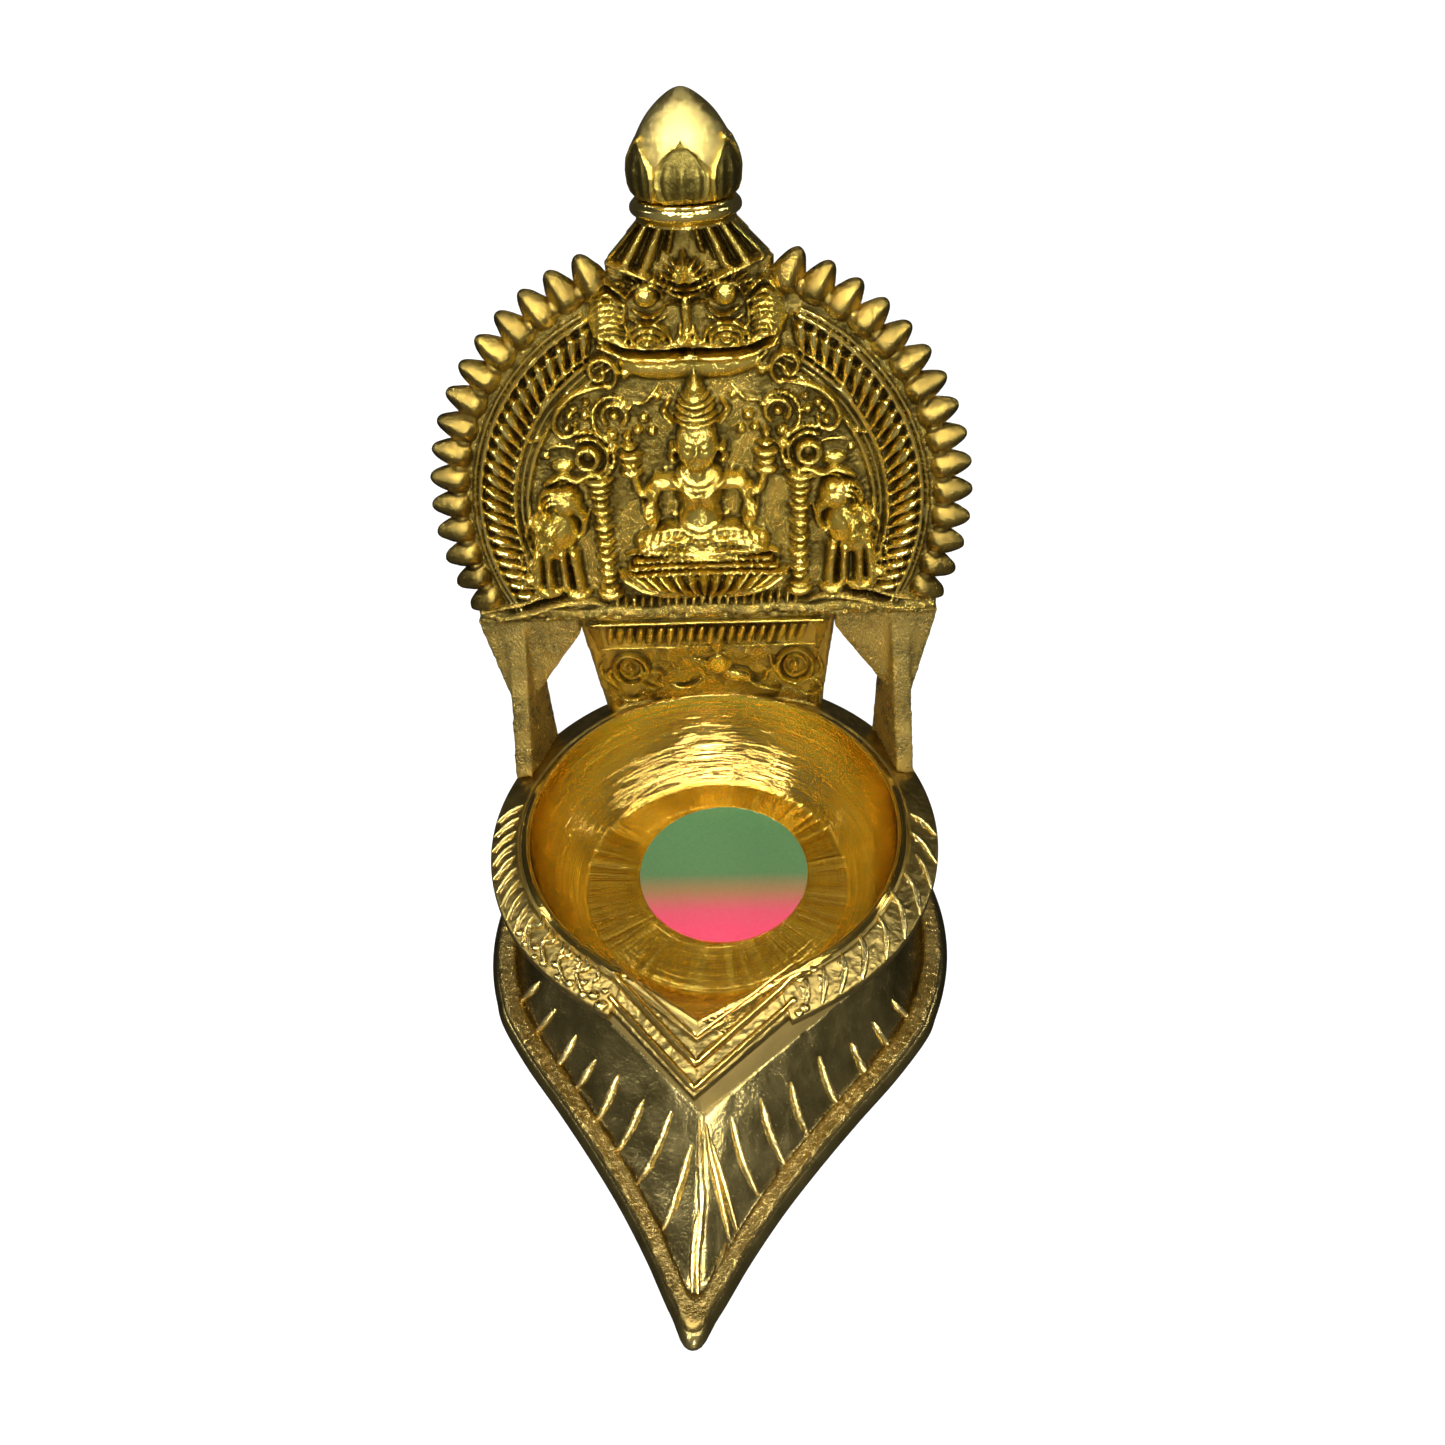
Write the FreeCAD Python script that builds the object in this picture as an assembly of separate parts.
import FreeCAD, Part
import math
import os

# Kamakshi lamp in cast brass, in millimetres.
# X is across the lamp, Y runs from the spout to the back, Z is up.
# The origin is under the foot, at the middle of the lamp's outline.

Vector = FreeCAD.Vector
up = Vector(0, 0, 1)
out_of_plate = Vector(0, -1, 0)

# Driving dimensions of the foot casting
foot_radius = 27.7
foot_tip = 47.9
foot_round_centre = -1.65
foot_edge_height = 1.6
foot_edge_bevel = 0.8
foot_wall = 1.7
border_width = 2.3
border_height = 0.7
seat_height = 6.5
ridge_width = 0.7
ridge_height = 0.55
ridges_each_side = 8
casting_turn = 2.8

# Driving dimensions of the bowl casting
bowl_base_radius = 20.2
bowl_base_tip = 27.6
bowl_top_radius = 23.4
bowl_top_tip = 30.2
rim_radius = 25.0
rim_tip = 32.0
rim_edge_height = 1.1
mouth_radius = 20.5
mouth_tip = 24.7
rim_underside = 17.6
rim_top = 20.2
floor_radius = 15.3
floor_height = 9.1
notch_floor_height = 10.6
notch_tip_height = 15.0
petals_each_side = 10
petal_height = 0.5
petal_gap = 0.45
moulding_width = 0.8
moulding_height = 0.45
sticker_diameter = 20.0
sticker_thickness = 0.15
sticker_offset_right = 0.8
sticker_offset_back = 1.4

# Driving dimensions of the stud that holds the bowl to the foot
stud_diameter = 4.0
stud_engagement = 1.4
stud_hole_clearance = 0.4
washer_diameter = 9.0
washer_thickness = 0.8
nut_across_flats = 7.0
nut_height = 3.2

# Driving dimensions of the back plate, measured along the leaning plate
plate_lean = 7.4
rim_level = 19.1
plate_back_from_axis = 10.6
plate_thickness = 2.0
plate_bottom = 20.0
plate_centre_height = 31.8
plate_radius = 24.4
spike_tip_radius = 27.35
spike_root_radius = 22.9
spike_base = 1.25
spike_point = 0.5
spike_axis_depth = 0.45
spikes_each_side = 15
first_spike_angle = 69.4
spike_step = 6.47
ridge_ring_outer = 22.4
ridge_ring_inner = 18.3
ring_section = 0.55
leaf_ring_inner = 19.2
leaf_ring_outer = 21.5
leaves_each_side = 19
leaf_section = 0.62
band_top_angle = 58.0
band_bottom_angle = -20.0

# Driving dimensions of the ornament on the plate
ledge_half_width = 24.6
ledge_height = 2.4
ledge_proud = 1.5
flute_row_half_width = 10.2
flute_count = 13
seat_half_width = 9.2
lotus_seat_height = 4.8
lotus_seat_proud = 1.9
seat_petals = 9
head_height = 40.6
head_radius = 2.5
crown_height = 8.2
shoulder_height = 36.6
shoulder_half_width = 4.3
knee_half_width = 7.0
figure_proud = 2.6
pillar_offset = 9.9
pillar_radius = 1.05
pillar_height = 13.6
pillar_rings = 5
elephant_offset = 14.4
elephant_height = 31.4
elephant_body_radius = 2.5
scroll_ring_radius = 2.1
scroll_section = 0.55
boss_radius = 1.1
boss_height = 0.9
mask_half_width = 9.0
mask_bottom = 48.6
mask_height = 9.6
mask_proud = 1.5
eye_radius = 1.7
eye_offset = 4.0

# Driving dimensions of the finial
crest_bottom = 56.6
crest_half_width = 7.4
crest_neck_half_width = 4.3
crest_flutes_across = 7
collar_bottom = 59.9
collar_height = 1.8
collar_radius = 4.9
bud_radius = 4.65
bud_height = 8.2
bud_petal_height = 4.6
bud_petals_round = 6
petal_skin = 0.35

# Driving dimensions of the struts and the neck
strut_width = 2.2
strut_depth = 8.6
strut_front = 7.2
strut_offset = 22.4
strut_toe_in = 15.0
gusset_thickness = 1.9
gusset_top_half_width = 25.0
neck_top_half_width = 14.0
neck_bottom_half_width = 13.3
neck_thickness = 2.0
neck_foot_back = 21.4
neck_foot_sag = 2.2
roundel_radius = 2.9
bead_radius = 0.62
beads_in_row = 17

overrun = 60.0
sliver_volume = 0.02

# The lamp's outline runs from the foot's tip to its back, and the origin is at its middle
outline_front = foot_tip * math.cos(math.radians(casting_turn))
outline_back = foot_radius + foot_round_centre
axis_from_origin = (outline_front - outline_back) / 2


def fused(shapes):
    """Join a list of shapes into one."""
    shapes = list(shapes)
    if len(shapes) == 1:
        return shapes[0]
    return shapes[0].multiFuse(shapes[1:]).removeSplitter()


def without_slivers(shape):
    """Keep only the real solids of a shape."""
    solids = [solid for solid in shape.Solids if solid.Volume > sliver_volume]
    return Part.makeCompound(solids)


def seated(shape, carriers):
    """Cut a piece where it meets what carries it, so the two touch face to face."""
    carried = []
    for solid in shape.Solids:
        touching = []
        for carrier in carriers:
            for part in carrier.Solids:
                if solid.BoundBox.intersect(part.BoundBox):
                    touching.append(part)
        carried.append(solid.cut(touching) if touching else solid)
    return without_slivers(Part.makeCompound(carried))


def mirrored(shape):
    """The same piece on the other side of the lamp."""
    return shape.mirror(Vector(0, 0, 0), Vector(1, 0, 0))


def prism(points, push):
    """Push a flat outline out into a solid."""
    wire = Part.makePolygon(points + [points[0]])
    return Part.Face(wire).extrude(push)


# Outlines of the two castings

flank_width_shares = (0.880, 0.747, 0.592, 0.444, 0.307, 0.188, 0.083)
flank_length_shares = (0.289, 0.397, 0.505, 0.613, 0.721, 0.829, 0.937)
leave_angle = 22.0
tip_inset_factor = 1.5


def leaf(inset, height):
    """Leaf outline of the foot: a round back, drawn to a point in front."""
    radius = foot_radius - inset
    tip = foot_tip - inset * tip_inset_factor
    length = tip + foot_round_centre
    angle = math.radians(leave_angle)
    start_x = radius * math.cos(angle)
    start_y = foot_round_centre - radius * math.sin(angle)
    right = Vector(start_x, start_y, height)
    left = Vector(-start_x, start_y, height)
    back = Vector(0, foot_round_centre + radius, height)
    point = Vector(0, -tip, height)
    flank = [right]
    for width_share, length_share in zip(flank_width_shares, flank_length_shares):
        flank.append(Vector(radius * width_share, foot_round_centre - length * length_share, height))
    flank.append(point)
    start_direction = Vector(-math.sin(angle), -math.cos(angle), 0)
    curve = Part.BSplineCurve()
    curve.interpolate(Points=flank, InitialTangent=start_direction, FinalTangent=Vector(-1, 0, 0))
    right_edge = curve.toShape()
    left_edge = right_edge.mirror(Vector(0, 0, 0), Vector(1, 0, 0))
    arc = Part.Arc(left, back, right).toShape()
    return Part.Wire([arc, right_edge, left_edge])


def teardrop(radius, tip, height):
    """Teardrop outline of the bowl: a circle with two tangent lines to the spout's tip."""
    tangent = math.acos(radius / tip)
    x = radius * math.sin(tangent)
    y = -radius * math.cos(tangent)
    right = Vector(x, y, height)
    left = Vector(-x, y, height)
    back = Vector(0, radius, height)
    point = Vector(0, -tip, height)
    arc = Part.Arc(left, back, right).toShape()
    return Part.Wire([arc, Part.makeLine(right, point), Part.makeLine(point, left)])


def teardrop_point(radius, tip, share, height):
    """A point on the right half of a teardrop, by its share of the way from back to tip."""
    tangent = math.acos(radius / tip)
    arc_length = radius * (math.pi - tangent)
    line_length = radius * math.tan(tangent)
    distance = share * (arc_length + line_length)
    if distance <= arc_length:
        angle = distance / radius
        return Vector(radius * math.sin(angle), radius * math.cos(angle), height)
    along = (distance - arc_length) / line_length
    x = radius * math.sin(tangent)
    y = -radius * math.cos(tangent)
    return Vector(x * (1 - along), y + (-tip - y) * along, height)


def loft(wires):
    return Part.makeLoft(wires, True, True)


# Foot casting, hollow underneath, with a seat on top for the bowl

border_outer_inset = foot_edge_bevel
border_inner_inset = foot_edge_bevel + border_width


def build_slope():
    """The solid under the foot's sloping top, from the border up to the bowl's seat."""
    return loft([leaf(border_inner_inset, foot_edge_height),
                 teardrop(bowl_base_radius, bowl_base_tip, seat_height)])


def build_foot(slope):
    edge = loft([leaf(0, 0), leaf(0, foot_edge_height / 2), leaf(border_outer_inset, foot_edge_height)])
    ceiling = seat_height - foot_wall
    hollow = loft([leaf(border_inner_inset, -foot_wall),
                   teardrop(bowl_base_radius - foot_wall, bowl_base_tip - foot_wall, ceiling)])
    hole_radius = (stud_diameter + stud_hole_clearance) / 2
    hole = Part.makeCylinder(hole_radius, seat_height + foot_wall, Vector(0, 0, -foot_wall), up)
    return edge.fuse(slope).cut(hollow).cut(hole).removeSplitter()


def build_border(foot):
    top = foot_edge_height + border_height
    outer = loft([leaf(border_outer_inset, foot_edge_height), leaf(border_outer_inset + border_height, top)])
    inner = loft([leaf(border_inner_inset, foot_edge_height), leaf(border_inner_inset, top + border_height)])
    return seated(outer.cut(inner), [foot])


ridge_inner_first_share = (0.70, -0.15)
ridge_inner_last_share = (0.09, -0.56)
ridge_outer_first_share = (0.86, -0.26)
ridge_outer_last_share = (0.17, -0.755)


def between(first_share, last_share, share):
    x = first_share[0] + (last_share[0] - first_share[0]) * share
    y = first_share[1] + (last_share[1] - first_share[1]) * share
    return Vector(x * foot_radius, y * foot_tip, 0)


def sloping_bar(inner, outer, width, proud):
    """A thin bar with a sharp back that lies down the foot's slope."""
    across = (outer - inner).cross(up).normalize() * (width / 2)
    sections = []
    for place, level in ((inner, seat_height), (outer, foot_edge_height)):
        low = Vector(place.x, place.y, level - proud)
        high = Vector(place.x, place.y, level + proud)
        sections.append(Part.makePolygon([low - across, low + across, high, low - across]))
    return loft(sections)


def build_ridges(slope):
    bars = []
    for index in range(ridges_each_side):
        share = index / (ridges_each_side - 1)
        inner = between(ridge_inner_first_share, ridge_inner_last_share, share)
        outer = between(ridge_outer_first_share, ridge_outer_last_share, share)
        bar = sloping_bar(inner, outer, ridge_width, ridge_height).cut(slope)
        bars.append(bar)
        bars.append(mirrored(bar))
    return without_slivers(Part.makeCompound(bars))


def build_midrib(slope, bowl, border):
    inner = Vector(0, -bowl_base_tip + ridge_width, 0)
    outer = Vector(0, -foot_tip + border_inner_inset * tip_inset_factor, 0)
    bar = sloping_bar(inner, outer, ridge_width * 2, ridge_height * 2)
    return seated(bar, [slope, bowl, border])


# Bowl casting, turned inside, with its V notch at the spout

def build_cavity():
    """The space inside the bowl: a turned hollow and the notch of the spout."""
    top = rim_top + rim_edge_height
    rise = rim_top - floor_height
    knee_share = 0.62
    belly_share = 0.30
    knee = Vector(floor_radius + (mouth_radius - floor_radius) * knee_share, 0,
                  floor_height + rise * belly_share)
    floor_edge = Vector(floor_radius, 0, floor_height)
    lip = Vector(mouth_radius, 0, rim_top)
    lip_top = Vector(mouth_radius, 0, top)
    wall = Part.Arc(floor_edge, knee, lip).toShape()
    profile = Part.Wire([
        Part.makeLine(Vector(0, 0, floor_height), floor_edge), wall,
        Part.makeLine(lip, lip_top), Part.makeLine(lip_top, Vector(0, 0, top)),
        Part.makeLine(Vector(0, 0, top), Vector(0, 0, floor_height))])
    turned = Part.Face(profile).revolve(Vector(0, 0, 0), up, 360)
    mouth_face = Part.Face(teardrop(mouth_radius, mouth_tip, floor_height))
    mouth = mouth_face.extrude(Vector(0, 0, top - floor_height))
    side = prism([Vector(-overrun, -floor_radius, notch_floor_height),
                  Vector(-overrun, -mouth_tip, notch_tip_height),
                  Vector(-overrun, -mouth_tip, top),
                  Vector(-overrun, -floor_radius, top)], Vector(2 * overrun, 0, 0))
    return turned.fuse(mouth.common(side)).removeSplitter()


def build_bowl(cavity):
    body = loft([teardrop(bowl_base_radius, bowl_base_tip, seat_height),
                 teardrop(bowl_top_radius, bowl_top_tip, rim_underside)])
    thread = Part.makeCylinder(stud_diameter / 2, stud_engagement, Vector(0, 0, seat_height), up)
    return body.cut(cavity).cut(thread)


def build_rim_crown():
    edge_top = rim_underside + rim_edge_height
    lip = loft([teardrop(rim_radius, rim_tip, rim_underside), teardrop(rim_radius, rim_tip, edge_top)])
    crown = loft([teardrop(rim_radius, rim_tip, edge_top), teardrop(mouth_radius, mouth_tip, rim_top)])
    return lip.fuse(crown)


def build_rim(rim_crown, cavity):
    mouth = Part.Face(teardrop(mouth_radius, mouth_tip, rim_underside)).extrude(
        Vector(0, 0, rim_top - rim_underside + rim_edge_height))
    return rim_crown.cut(mouth).cut(cavity).removeSplitter()


petal_start_share = 0.36
petal_end_share = 0.80
petal_slant_share = 0.035
petal_inner_share = 0.30


def rim_place(share, outward_share):
    """A point on the rim's sloping top, outward_share of the way from mouth to edge."""
    inner = teardrop_point(mouth_radius, mouth_tip, share, rim_top)
    outer = teardrop_point(rim_radius, rim_tip, share, rim_underside + rim_edge_height)
    return inner + (outer - inner) * outward_share


def raised(rim_crown, outlines, height):
    """Plan outlines raised by an even height over the rim's sloping top."""
    lifted = rim_crown.copy()
    lifted.translate(Vector(0, 0, height))
    bars = []
    for outline in outlines:
        bars.append(prism(outline, Vector(0, 0, rim_top - rim_underside + height)).common(lifted))
        opposite = [Vector(-place.x, place.y, place.z) for place in outline]
        bars.append(prism(opposite, Vector(0, 0, rim_top - rim_underside + height)).common(lifted))
    return bars


def build_rim_petals(rim, rim_crown):
    """Slanted petals along both sides of the rim, parted by narrow grooves."""
    outlines = []
    step = (petal_end_share - petal_start_share) / petals_each_side
    gap_share = petal_gap / (math.pi * rim_radius)
    for index in range(petals_each_side):
        near = petal_start_share + step * index
        far = near + step - gap_share
        corners = []
        for share, outward in ((near, petal_inner_share), (far, petal_inner_share),
                               (far + petal_slant_share, 1), (near + petal_slant_share, 1)):
            place = rim_place(share, outward)
            corners.append(Vector(place.x, place.y, rim_underside))
        outlines.append(corners)
    return seated(Part.makeCompound(raised(rim_crown, outlines, petal_height)), [rim])


spout_line_outward_shares = (0.62, 0.90)
spout_line_start_share = 0.875


def build_spout_mouldings(rim, rim_crown):
    """Two raised lines that follow the rim round the spout's tip."""
    outlines = []
    half = moulding_width / (2 * (rim_radius - mouth_radius))
    tip_half = half * math.sqrt(2)
    for outward in spout_line_outward_shares:
        corners = []
        for share, place_outward in ((spout_line_start_share, outward - half), (1, outward - tip_half),
                                     (1, outward + tip_half), (spout_line_start_share, outward + half)):
            place = rim_place(share, min(place_outward, 1))
            corners.append(Vector(place.x, place.y, rim_underside))
        outlines.append(corners)
    bars = raised(rim_crown, outlines, moulding_height)
    lines = [fused(bars[0:2]), fused(bars[2:4])]
    return seated(Part.makeCompound(lines), [rim])


def build_sticker():
    centre = Vector(sticker_offset_right, sticker_offset_back, floor_height)
    return Part.makeCylinder(sticker_diameter / 2, sticker_thickness, centre, up)


# Stud, washer and nut under the seat

ceiling_height = seat_height - foot_wall
nut_bottom = ceiling_height - washer_thickness - nut_height


def build_stud():
    length = seat_height + stud_engagement - nut_bottom
    return Part.makeCylinder(stud_diameter / 2, length, Vector(0, 0, nut_bottom), up)


def build_washer():
    bottom = Vector(0, 0, ceiling_height - washer_thickness)
    disc = Part.makeCylinder(washer_diameter / 2, washer_thickness, bottom, up)
    return disc.cut(Part.makeCylinder(stud_diameter / 2, washer_thickness, bottom, up))


def build_nut():
    radius = nut_across_flats / math.sqrt(3)
    corners = []
    for index in range(6):
        angle = math.radians(60 * index)
        corners.append(Vector(radius * math.cos(angle), radius * math.sin(angle), nut_bottom))
    body = prism(corners, Vector(0, 0, nut_height))
    return body.cut(Part.makeCylinder(stud_diameter / 2, nut_height, Vector(0, 0, nut_bottom), up))


# Shapes for the plate, in its own plane: X across, Z up the plate, the front face at Y = 0

def plate_polar(radius, degrees):
    angle = math.radians(degrees)
    return Vector(radius * math.cos(angle), 0, plate_centre_height + radius * math.sin(angle))


def in_front(shape):
    """Keep what stands proud of the plate's front face."""
    room = Part.makeBox(2 * overrun, overrun, 3 * overrun, Vector(-overrun, -overrun, -overrun))
    return Part.makeCompound([solid.common(room) for solid in shape.Solids])


def cap(x, z, radius, height):
    """A round boss, with its flat back on the plate's face."""
    sphere_radius = (radius * radius + height * height) / (2 * height)
    latitude = math.degrees(math.asin((sphere_radius - height) / sphere_radius))
    centre = Vector(x, sphere_radius - height, z)
    return Part.makeSphere(sphere_radius, centre, out_of_plate, latitude, 90, 360)


def rod(start, end, start_radius, end_radius):
    """A round-ended limb between two points."""
    along = end - start
    if abs(start_radius - end_radius) < start_radius / 100:
        middle = Part.makeCylinder(start_radius, along.Length, start, along)
    else:
        middle = Part.makeCone(start_radius, end_radius, along.Length, start, along)
    return fused([middle, Part.makeSphere(start_radius, start), Part.makeSphere(end_radius, end)])


def half_spindle(start, end, start_radius, middle_radius):
    """A leaf-shaped half body that swells in the middle, flat on the plate's face."""
    along = end - start
    side = Vector(along).cross(out_of_plate).normalize()
    middle = (start + end) * 0.5 + side * middle_radius
    near = start + side * start_radius
    far = end + side * start_radius
    outline = Part.Wire([Part.makeLine(start, near), Part.Arc(near, middle, far).toShape(),
                         Part.makeLine(far, end), Part.makeLine(end, start)])
    return Part.Face(outline).revolve(start, along, 180)


def path_rod(places, radius):
    """A limb of even thickness along a few points of the plate's face."""
    limbs = []
    for start, end in zip(places, places[1:]):
        limbs.append(rod(start, end, radius, radius))
    return fused(limbs)


def ring_arc(x, z, ring_radius, section, first, last):
    """Part of a round ring that lies on the plate's face."""
    torus = Part.makeTorus(ring_radius, section, Vector(0, 0, 0), Vector(0, 0, 1), -180, 180, last - first)
    torus.rotate(Vector(0, 0, 0), Vector(0, 0, 1), first)
    torus.rotate(Vector(0, 0, 0), Vector(1, 0, 0), 90)
    torus.translate(Vector(x, 0, z))
    return torus


def leaned(shape):
    """Place a piece of the plate where it stands on the lamp."""
    copy = shape.copy()
    copy.rotate(Vector(0, 0, 0), Vector(1, 0, 0), -plate_lean)
    copy.translate(Vector(0, plate_back_from_axis, rim_level))
    return copy


# Back plate and its bands

def build_plate():
    centre = Vector(0, 0, plate_centre_height)
    disc = Part.makeCylinder(plate_radius, plate_thickness, centre, Vector(0, 1, 0))
    below = Part.makeBox(2 * overrun, overrun, overrun,
                         Vector(-overrun, -overrun / 2, plate_bottom - overrun))
    skirt = Part.makeBox(2 * ledge_half_width, plate_thickness, ledge_height,
                         Vector(-ledge_half_width, 0, plate_bottom))
    crest = prism([Vector(-crest_half_width, 0, crest_bottom - crest_half_width),
                   Vector(crest_half_width, 0, crest_bottom - crest_half_width),
                   Vector(crest_half_width, 0, crest_bottom),
                   Vector(crest_neck_half_width, 0, collar_bottom),
                   Vector(-crest_neck_half_width, 0, collar_bottom),
                   Vector(-crest_half_width, 0, crest_bottom)], Vector(0, plate_thickness, 0))
    return disc.cut(below).fuse(skirt).fuse(crest).removeSplitter()


def build_spikes(plate):
    spikes = []
    middle = Vector(0, spike_axis_depth, 0)
    for index in range(spikes_each_side):
        angle = first_spike_angle - spike_step * index
        root = plate_polar(spike_root_radius, angle) + middle
        end = plate_polar(spike_tip_radius - spike_point, angle) + middle
        spike = Part.makeCone(spike_base, spike_point, (end - root).Length, root, end - root)
        spike = spike.fuse(Part.makeSphere(spike_point, end)).removeSplitter()
        spikes.append(spike)
        spikes.append(mirrored(spike))
    return seated(Part.makeCompound(spikes), [plate])


def build_band_ridges(covers):
    rings = []
    for ring_radius in (ridge_ring_outer, ridge_ring_inner):
        arc = ring_arc(0, plate_centre_height, ring_radius, ring_section,
                       band_bottom_angle, band_top_angle)
        rings.append(arc)
        rings.append(mirrored(arc))
    return seated(in_front(Part.makeCompound(rings)), covers)


leaf_lead_share = 0.35
leaf_end_share = 0.3


def build_leaf_band(covers):
    """Slanted leaves between the two ridges, like a twisted rope."""
    leaves = []
    step = (band_top_angle - band_bottom_angle) / leaves_each_side
    for index in range(leaves_each_side):
        angle = band_bottom_angle + step * (index + 0.5)
        root = plate_polar(leaf_ring_inner, angle + step * leaf_lead_share)
        end = plate_polar(leaf_ring_outer, angle - step * leaf_lead_share)
        leaf_body = half_spindle(root, end, leaf_section * leaf_end_share, leaf_section)
        leaves.append(leaf_body)
        leaves.append(mirrored(leaf_body))
    return seated(Part.makeCompound(leaves), covers)


def build_ledge():
    profile = [Vector(-ledge_half_width, 0, plate_bottom),
               Vector(-ledge_half_width, -ledge_proud * 0.6, plate_bottom),
               Vector(-ledge_half_width, -ledge_proud, plate_bottom + ledge_height * 0.4),
               Vector(-ledge_half_width, -ledge_proud, plate_bottom + ledge_height * 0.7),
               Vector(-ledge_half_width, -ledge_proud * 0.4, plate_bottom + ledge_height),
               Vector(-ledge_half_width, 0, plate_bottom + ledge_height)]
    return prism(profile, Vector(2 * ledge_half_width, 0, 0))


def build_flutes():
    """A row of small upright flutes on the ledge under the lotus seat."""
    flutes = []
    pitch = 2 * flute_row_half_width / (flute_count - 1)
    radius = pitch * 0.4
    bottom = plate_bottom + ledge_height * 0.4
    top = plate_bottom + ledge_height * 0.7
    for index in range(flute_count):
        x = -flute_row_half_width + pitch * index
        flutes.append(half_spindle(Vector(x, -ledge_proud, bottom), Vector(x, -ledge_proud, top),
                                   radius * 0.4, radius))
    return without_slivers(Part.makeCompound(flutes))


# Ornament on the plate

seat_floor = plate_bottom + ledge_height
figure_floor = seat_floor + lotus_seat_height


def build_lotus_seat(figure):
    """A half-round seat of petals that fan out from below."""
    shapes = []
    for index in range(seat_petals):
        share = 2 * index / (seat_petals - 1) - 1
        foot_end = Vector(share * seat_half_width * 0.45, 0, seat_floor)
        top_end = Vector(share * seat_half_width, 0, figure_floor - abs(share) * lotus_seat_height * 0.25)
        shapes.append(half_spindle(foot_end, top_end, lotus_seat_proud * 0.3, lotus_seat_proud * 0.75))
    below = Part.makeBox(2 * overrun, overrun, overrun, Vector(-overrun, -overrun, seat_floor - overrun))
    return seated(fused(shapes).cut(below), [figure])


def build_figure():
    """The seated goddess: crossed legs, trunk, four arms, head and tall crown."""
    depth = Vector(0, -figure_proud * 0.35, 0)
    hip = Vector(0, 0, figure_floor + figure_proud * 0.7) + depth
    chest = Vector(0, 0, shoulder_height - head_radius * 0.6) + depth
    head = Vector(0, -figure_proud * 0.45, head_height)
    shapes = [rod(hip, chest, head_radius, head_radius * 0.95),
              Part.makeSphere(head_radius, head)]
    crown_top = head + Vector(0, figure_proud * 0.2, crown_height)
    shapes.append(Part.makeCone(head_radius * 0.95, head_radius * 0.3, (crown_top - head).Length * 0.8,
                                head + Vector(0, 0, head_radius * 0.5), crown_top - head))
    for share in (0.30, 0.55, 0.75):
        place = head + (crown_top - head) * share
        shapes.append(Part.makeSphere(head_radius * (1.02 - share * 0.75), place))
    for side in (-1, 1):
        knee = Vector(side * (knee_half_width - head_radius * 0.6), 0, figure_floor + figure_proud * 0.6)
        ankle = Vector(-side * knee_half_width * 0.35, 0, figure_floor + figure_proud * 0.45) + depth
        shapes.append(rod(hip, knee, head_radius * 0.7, head_radius * 0.62))
        shapes.append(rod(knee, ankle, head_radius * 0.55, head_radius * 0.4))
        shoulder = Vector(side * shoulder_half_width, 0, shoulder_height)
        elbow = shoulder + Vector(side * head_radius * 0.5, 0, -head_radius * 1.6)
        low_hand = Vector(side * shoulder_half_width * 0.9, 0, figure_floor + head_radius * 1.5) + depth
        high_hand = Vector(shoulder.x + side * head_radius * 0.9, 0, head_height + head_radius * 0.2)
        shapes.append(rod(chest, shoulder, head_radius * 0.6, head_radius * 0.45))
        shapes.append(rod(shoulder, elbow, head_radius * 0.42, head_radius * 0.36))
        shapes.append(rod(elbow, low_hand, head_radius * 0.36, head_radius * 0.32))
        shapes.append(rod(elbow, high_hand, head_radius * 0.34, head_radius * 0.28))
        shapes.append(Part.makeSphere(head_radius * 0.5, high_hand + Vector(0, 0, head_radius * 0.5)))
    return without_slivers(in_front(fused(shapes)))


def build_pillar():
    """One pillar of stacked rings, on the right of the figure."""
    base = seat_floor
    shaft = Part.makeCylinder(pillar_radius * 0.75, pillar_height, Vector(pillar_offset, 0, base), up)
    shapes = [shaft]
    for index in range(pillar_rings):
        share = index / (pillar_rings - 1)
        height = base + pillar_radius + (pillar_height - 2 * pillar_radius) * share
        shapes.append(Part.makeSphere(pillar_radius, Vector(pillar_offset, 0, height)))
    return without_slivers(in_front(fused(shapes)))


trunk_shares = ((-0.45, 0.55), (-1.05, 1.05), (-0.95, 1.75), (-0.25, 2.15))


def build_elephant():
    """The elephant on the right, facing the figure with its trunk raised over a pedestal."""
    radius = elephant_body_radius
    body = Vector(elephant_offset, 0, elephant_height)
    shapes = [rod(body - Vector(0, 0, radius * 0.6), body + Vector(radius * 0.1, 0, radius * 0.5),
                  radius * 0.78, radius * 0.7)]
    head = body + Vector(-radius * 0.35, 0, radius * 1.1)
    shapes.append(Part.makeSphere(radius * 0.66, head))
    trunk = [head]
    for across_share, up_share in trunk_shares:
        trunk.append(body + Vector(across_share * radius, 0, (up_share + 1) * radius))
    shapes.append(path_rod(trunk, radius * 0.24))
    for step in (-0.6, 0.6):
        leg_top = body + Vector(step * radius, 0, -radius * 0.6)
        leg_foot = Vector(leg_top.x, 0, seat_floor + radius * 0.35)
        shapes.append(rod(leg_top, leg_foot, radius * 0.42, radius * 0.36))
    body_shape = in_front(fused(shapes))
    below = Part.makeBox(2 * overrun, overrun, overrun, Vector(-overrun, -overrun, seat_floor - overrun))
    return without_slivers(body_shape.cut(below))


# Places on the plate, in shares of its radius from its centre: across, up, ring size, first and last angle
scroll_place_shares = ((0.336, 0.607, 1.0, -60, 250), (0.385, 0.471, 1.25, 20, 300),
                       (0.574, 0.467, 0.8, -120, 150), (0.422, 0.291, 0.75, 0, 360),
                       (0.623, 0.238, 0.7, -60, 200))
boss_place_shares = ((0.541, 0.320), (0.258, 0.443), (0.336, 0.607))


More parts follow.
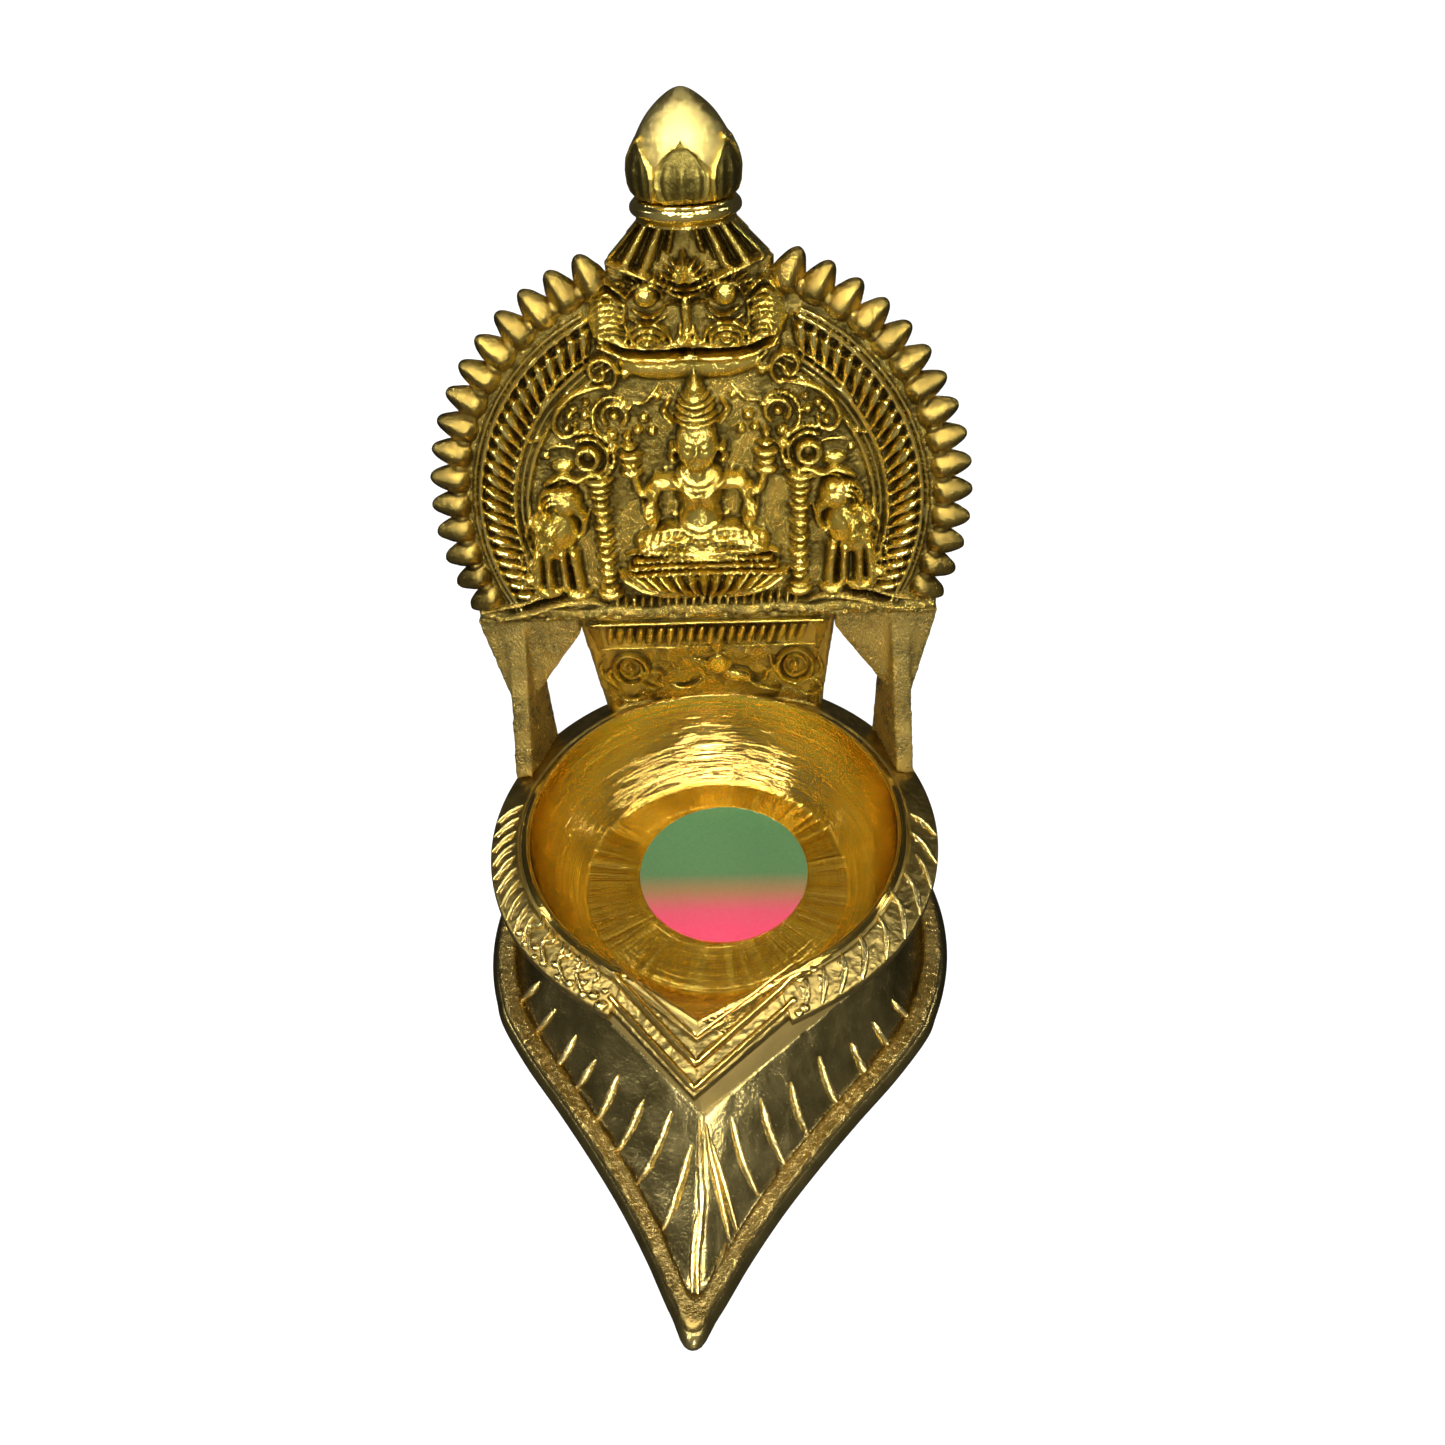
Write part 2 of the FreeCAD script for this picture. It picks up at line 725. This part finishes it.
def plate_place(across_share, up_share):
    return Vector(across_share * plate_radius, 0, plate_centre_height + up_share * plate_radius)


def build_scrollwork(covers):
    """Scrolls of foliage round the figure's head."""
    rings = []
    for across, rise, size_share, first, last in scroll_place_shares:
        place = plate_place(across, rise)
        ring = ring_arc(place.x, place.z, scroll_ring_radius * size_share, scroll_section, first, last)
        rings.append(ring)
        rings.append(mirrored(ring))
    return seated(in_front(Part.makeCompound(rings)), covers)


def build_bosses(covers):
    bosses = []
    for across, rise in boss_place_shares:
        place = plate_place(across, rise)
        boss = cap(place.x, place.z, boss_radius, boss_height)
        bosses.append(boss)
        bosses.append(mirrored(boss))
    return seated(Part.makeCompound(bosses), covers)


def build_mask():
    """The lion mask under the finial: brows, bulging eyes, cheeks, nose and upper lip."""
    middle = mask_bottom + mask_height / 2
    face = prism([Vector(-mask_half_width, 0, mask_bottom + mask_height * 0.12),
                  Vector(-mask_half_width * 0.55, 0, mask_bottom),
                  Vector(mask_half_width * 0.55, 0, mask_bottom),
                  Vector(mask_half_width, 0, mask_bottom + mask_height * 0.12),
                  Vector(mask_half_width * 0.95, 0, mask_bottom + mask_height * 0.75),
                  Vector(mask_half_width * 0.45, 0, mask_bottom + mask_height * 0.86),
                  Vector(-mask_half_width * 0.45, 0, mask_bottom + mask_height * 0.86),
                  Vector(-mask_half_width * 0.95, 0, mask_bottom + mask_height * 0.75)],
                 Vector(0, -mask_proud * 0.6, 0))
    shapes = [face]
    for side in (-1, 1):
        eye = Vector(side * eye_offset, -mask_proud * 0.4, middle + eye_radius * 0.3)
        shapes.append(Part.makeSphere(eye_radius, eye))
        brow = [eye + Vector(-side * eye_radius * 1.2, 0, eye_radius * 1.1),
                eye + Vector(side * eye_radius * 0.3, 0, eye_radius * 1.7),
                eye + Vector(side * eye_radius * 2.1, 0, eye_radius * 1.2)]
        shapes.append(path_rod(brow, eye_radius * 0.36))
        cheek = Vector(side * mask_half_width * 0.8, 0, mask_bottom + mask_height * 0.34)
        shapes.append(Part.makeSphere(eye_radius * 0.95, cheek))
    nose_top = Vector(0, -mask_proud * 0.4, middle)
    nose_end = Vector(0, -mask_proud * 0.6, mask_bottom + mask_height * 0.2)
    shapes.append(rod(nose_top, nose_end, eye_radius * 0.4, eye_radius * 0.6))
    lip = [Vector(-mask_half_width * 0.6, -mask_proud * 0.4, mask_bottom + eye_radius * 0.3),
           Vector(mask_half_width * 0.6, -mask_proud * 0.4, mask_bottom + eye_radius * 0.3)]
    shapes.append(path_rod(lip, eye_radius * 0.32))
    return without_slivers(in_front(fused(shapes)))


# Finial on top of the plate

def build_crest(mask):
    """The fluted neck that carries the finial, cut flat at the back."""
    shapes = []
    for index in range(crest_flutes_across):
        share = 2 * index / (crest_flutes_across - 1) - 1
        low = Vector(share * crest_half_width * 0.85, 0, crest_bottom - crest_neck_half_width * 0.3)
        high = Vector(share * crest_neck_half_width * 0.85, 0, collar_bottom)
        shapes.append(half_spindle(low, high, crest_neck_half_width * 0.16, crest_neck_half_width * 0.24))
    above = Part.makeBox(2 * overrun, overrun, overrun, Vector(-overrun, -overrun, collar_bottom))
    return seated(Part.makeCompound(shapes).cut(above), [mask])


finial_centre = plate_thickness / 2


def build_collar():
    base = Vector(0, finial_centre, collar_bottom)
    profile_shares = ((0, 0), (0.86, 0), (1, 0.3), (0.93, 0.55), (0.98, 0.8), (0.84, 1), (0, 1))
    points = [base + Vector(out * collar_radius, 0, rise * collar_height) for out, rise in profile_shares]
    wire = Part.makePolygon(points + [points[0]])
    return Part.Face(wire).revolve(base, up, 360)


bud_shares = ((0.84, 0), (0.98, 0.14), (1, 0.27), (0.93, 0.48), (0.70, 0.70), (0.36, 0.88), (0.10, 0.98))


def bud_profile(swell):
    """The bud's outline from its foot to its top, swollen outwards."""
    base = Vector(0, finial_centre, collar_bottom + collar_height)
    places = []
    for out, rise in bud_shares:
        places.append(base + Vector(out * bud_radius + swell, 0, rise * bud_height))
    top = base + Vector(0, 0, bud_height + swell)
    curve = Part.BSplineCurve()
    curve.interpolate(Points=places + [top], FinalTangent=Vector(-1, 0, 0))
    foot_line = Part.makeLine(base, places[0])
    wire = Part.Wire([foot_line, curve.toShape(), Part.makeLine(top, base)])
    return Part.Face(wire).revolve(base, up, 360)


def build_bud_petals(bud):
    """Pointed petals that wrap the bud's lower half."""
    base = Vector(0, finial_centre, collar_bottom + collar_height)
    skin = bud_profile(petal_skin).cut(bud)
    petals = []
    half = bud_radius * math.sin(math.pi / bud_petals_round) * 0.92
    outline_shares = ((-0.72, 0), (-1, 0.35), (-0.82, 0.65), (0, 1), (0.82, 0.65), (1, 0.35), (0.72, 0))
    points = []
    for across, rise in outline_shares:
        points.append(base + Vector(across * half, 0, rise * bud_petal_height))
    cutter = prism(points, Vector(0, -overrun, 0))
    for index in range(bud_petals_round):
        turned = cutter.copy()
        turned.rotate(base, up, 360 / bud_petals_round * index)
        petals.append(skin.common(turned))
    return without_slivers(Part.makeCompound(petals))


# Struts with their gussets, and the neck between plate and rim

gusset_shares = ((1, 1), (0.92, 0.50), (0.88, 0.28), (0.82, 0.45), (0.72, 0.62), (0.556, 0.90), (0.556, 1))


def build_strut(rim, plate):
    """The right strut: a deep, thin leg on the rim, with a flat gusset up to the plate."""
    outline = []
    for across, rise in gusset_shares:
        outline.append(Vector(across * gusset_top_half_width, 0, rise * plate_bottom))
    gusset = leaned(prism(outline, Vector(0, gusset_thickness, 0)))
    top = plate_foot()
    foot_level = rim_underside + rim_edge_height
    back = strut_front + strut_depth
    side = prism([Vector(-strut_width / 2, strut_front, foot_level),
                  Vector(-strut_width / 2, top.y, top.z),
                  Vector(-strut_width / 2, back, top.z),
                  Vector(-strut_width / 2, back, foot_level)], Vector(strut_width, 0, 0))
    side.rotate(Vector(0, strut_front, 0), up, strut_toe_in)
    side.translate(Vector(strut_offset, 0, 0))
    above = Part.makeBox(2 * overrun, 2 * overrun, overrun, Vector(-overrun, -overrun, plate_bottom))
    shape = gusset.fuse(side).cut(leaned(above)).removeSplitter()
    return seated(shape, [rim, plate])


def neck_section(half_width, centre_back, sag, height, thickness):
    """One level of the neck: bowed at the rim, straight at the plate."""
    bow = max(sag, neck_thickness / 100)
    left = Vector(-half_width, centre_back - bow, height)
    right = Vector(half_width, centre_back - bow, height)
    push = Vector(0, thickness, 0)
    front = Part.Arc(left, Vector(0, centre_back, height), right).toShape()
    rear = Part.Arc(right + push, Vector(0, centre_back, height) + push, left + push).toShape()
    return Part.Wire([front, Part.makeLine(right, right + push), rear, Part.makeLine(left + push, left)])


def plate_foot():
    """The middle of the plate's lower edge, where the neck meets it."""
    return leaned(Part.Vertex(0, 0, plate_bottom)).Point


def build_neck(rim, plate, struts):
    top = plate_foot()
    low = neck_section(neck_bottom_half_width, neck_foot_back, neck_foot_sag,
                       rim_underside + rim_edge_height, neck_thickness)
    high = neck_section(neck_top_half_width, top.y, 0, top.z, neck_thickness)
    return seated(loft([low, high]), [rim, plate] + struts)


def on_neck(x, share, proud):
    """A point of the neck's front, share of the way up from rim to plate."""
    top = plate_foot()
    half_width = neck_bottom_half_width + (neck_top_half_width - neck_bottom_half_width) * share
    bow = neck_foot_sag * (x / half_width) ** 2 * (1 - share)
    foot_level = rim_underside + rim_edge_height
    y = (neck_foot_back - bow) + (top.y - neck_foot_back + bow) * share
    z = foot_level + (top.z - foot_level) * share
    return Vector(x, y - proud, z)


def neck_facing():
    """The way the neck's front faces."""
    return (on_neck(0, 1, 0) - on_neck(0, 0, 0)).cross(Vector(-1, 0, 0)).normalize()


roundel_share = 0.50
diamond_share = 0.56
bead_row_share = 0.85


def build_roundels(neck, struts):
    """A roundel each side of the neck, and a diamond in the middle."""
    shapes = []
    facing = neck_facing()
    for side in (-1, 1):
        centre = on_neck(side * neck_top_half_width * 0.67, roundel_share, 0)
        shapes.append(Part.makeTorus(roundel_radius * 0.82, roundel_radius * 0.2, centre, facing))
        shapes.append(Part.makeSphere(roundel_radius * 0.4, centre, facing))
    centre = on_neck(0, diamond_share, 0)
    shapes.append(Part.makeSphere(roundel_radius * 0.45, centre, facing))
    return seated(Part.makeCompound(shapes), [neck] + struts)


def build_neck_beads(neck):
    """A row of beads on the neck under the ledge."""
    beads = []
    for index in range(beads_in_row):
        share = 2 * index / (beads_in_row - 1) - 1
        across = share * (neck_top_half_width - 2 * bead_radius)
        centre = on_neck(across, bead_row_share, bead_radius * 0.4)
        beads.append(Part.makeSphere(bead_radius, centre, neck_facing()))
    return seated(Part.makeCompound(beads), [neck])


# Build the lower casting, turn it as it was fitted, then stand the upper casting on it

def turned(shape):
    copy = shape.copy()
    copy.rotate(Vector(0, 0, 0), up, -casting_turn)
    return copy


cavity = build_cavity()
slope = build_slope()
foot = build_foot(slope)
border = build_border(foot)
bowl = build_bowl(cavity)
rim_crown = build_rim_crown()
rim = build_rim(rim_crown, cavity)
lower = {
    "leaf_foot": foot,
    "foot_border": border,
    "foot_ridges": build_ridges(slope),
    "foot_midrib": build_midrib(slope, bowl, border),
    "base_stud": build_stud(),
    "base_washer": build_washer(),
    "base_nut": build_nut(),
    "oil_bowl": bowl,
    "bowl_rim": rim,
    "rim_petals": build_rim_petals(rim, rim_crown),
    "spout_mouldings": build_spout_mouldings(rim, rim_crown),
}
nodes = {}
for name, shape in lower.items():
    nodes[name] = turned(shape)
nodes["round_sticker"] = build_sticker()

plate = build_plate()
ledge = build_ledge()
figure = build_figure()
pillar = build_pillar()
elephant = build_elephant()
mask = build_mask()
pillars = [pillar, mirrored(pillar)]
elephants = [elephant, mirrored(elephant)]
lotus_seat = build_lotus_seat(figure)
pillars = [seated(piece, [figure, lotus_seat]) for piece in pillars]
elephants = [seated(piece, pillars + [lotus_seat]) for piece in elephants]
covers = [mask, ledge, figure, lotus_seat] + pillars + elephants
bands = build_band_ridges([mask, ledge] + elephants)
leaves = build_leaf_band([mask, ledge, bands] + elephants)
scrolls = build_scrollwork(covers + [bands, leaves])
bud = bud_profile(0)
upper = {
    "back_plate": plate,
    "plate_spikes": seated(build_spikes(plate), [bands, ledge]),
    "band_ridges": bands,
    "leaf_band": leaves,
    "plate_ledge": ledge,
    "ledge_flutes": build_flutes(),
    "lotus_seat": lotus_seat,
    "goddess_figure": figure,
    "left_pillar": pillars[1],
    "right_pillar": pillars[0],
    "left_elephant": elephants[1],
    "right_elephant": elephants[0],
    "scrollwork": scrolls,
    "lotus_bosses": build_bosses(covers + [bands, leaves, scrolls]),
    "lion_mask": mask,
    "crest_flutes": build_crest(mask),
    "finial_collar": build_collar(),
    "finial_bud": bud,
    "bud_petals": build_bud_petals(bud),
}
for name, shape in upper.items():
    nodes[name] = leaned(shape)

standing_on = nodes["bowl_rim"].fuse(nodes["rim_petals"])
right_strut = build_strut(standing_on, nodes["back_plate"])
left_strut = seated(mirrored(build_strut(nodes["bowl_rim"], nodes["back_plate"])), [standing_on])
neck = build_neck(nodes["bowl_rim"], nodes["back_plate"], [left_strut, right_strut])
nodes["right_strut"] = right_strut
nodes["left_strut"] = left_strut
nodes["neck_panel"] = neck
nodes["neck_roundels"] = build_roundels(neck, [left_strut, right_strut])
nodes["neck_beads"] = build_neck_beads(neck)

os.makedirs("parts", exist_ok=True)
for name, shape in nodes.items():
    placed = shape.copy()
    placed.translate(Vector(0, axis_from_origin, 0))
    placed.exportStep("parts/" + name + ".step")
